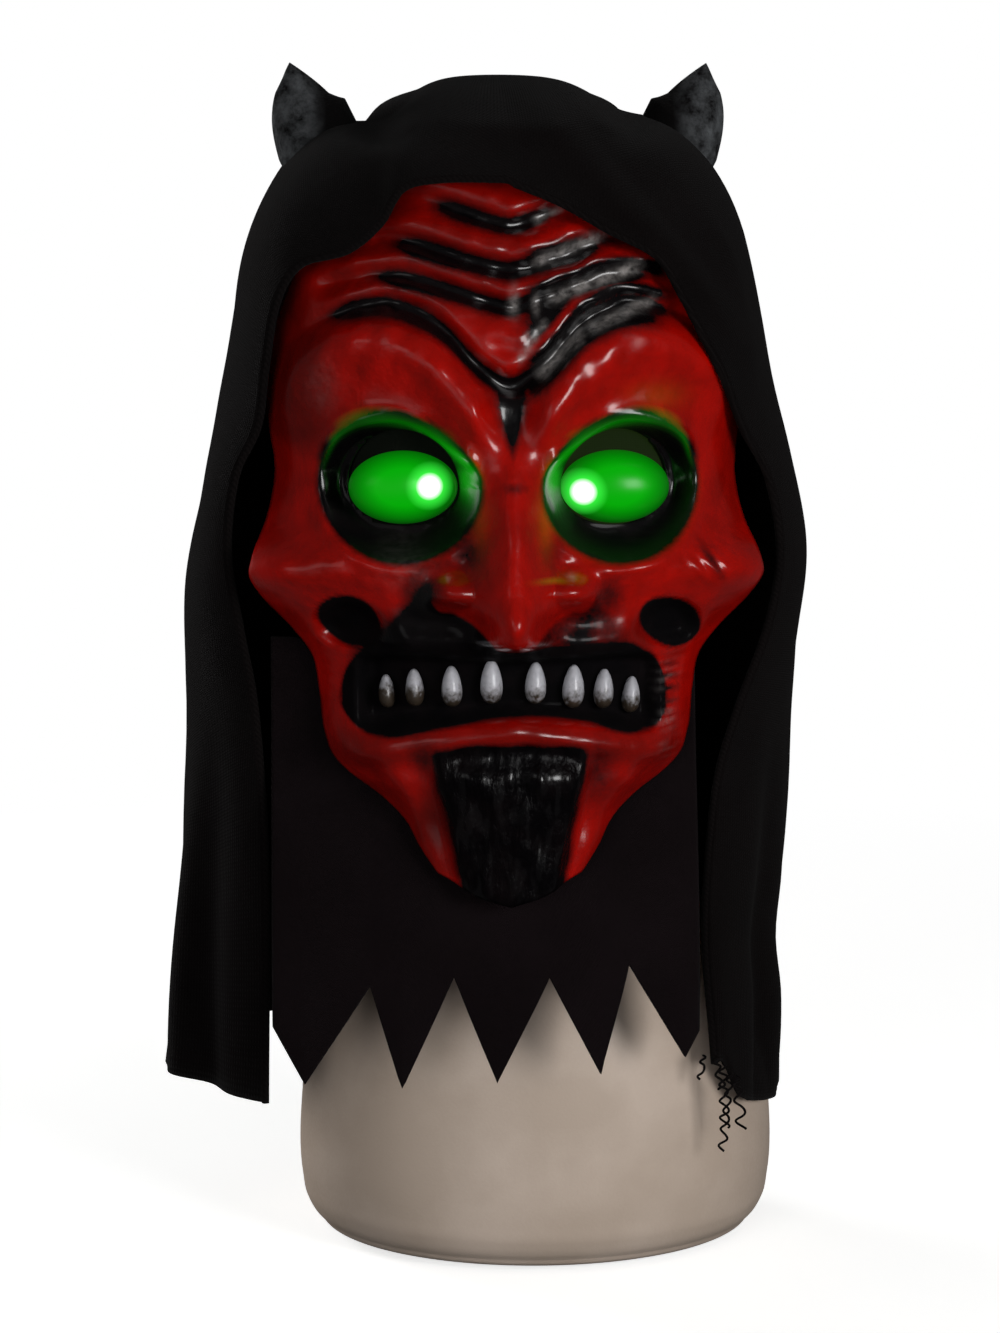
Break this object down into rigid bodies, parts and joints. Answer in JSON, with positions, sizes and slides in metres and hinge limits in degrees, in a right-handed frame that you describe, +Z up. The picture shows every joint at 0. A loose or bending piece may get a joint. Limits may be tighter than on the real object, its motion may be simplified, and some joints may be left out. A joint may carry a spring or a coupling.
{
  "type": "light-up devil mask on a display head",
  "caption": "Glossy devil face mask with lit eyes, sewn into a horned hood with a zigzag bib, worn by a plain display head.",
  "frame": {"origin": "middle of the display head's flat underside", "axes": "+Z up; the face looks along -Y; +X to the viewer's right"},
  "size_m": [0.2341, 0.2668, 0.4335],
  "materials": {
    "display_head": "smooth moulded, soft sheen",
    "mask": "thin glossy moulded, black airbrushed recesses",
    "eye_dome": "translucent green, lit from behind",
    "led": "lit",
    "hood": "thin black knit",
    "bib": "black cloth, raw cut hem",
    "horn": "black with brushed grey"
  },
  "bodies": {
    "root": {"display_head": "display_head", "mask": "mask", "eye_dome_left": "eye_dome", "eye_dome_right": "eye_dome", "eye_led_left": "led", "eye_led_right": "led", "hood": "hood", "bib": "bib", "horn_left": "horn", "horn_right": "horn"}
  },
  "joints": []
}
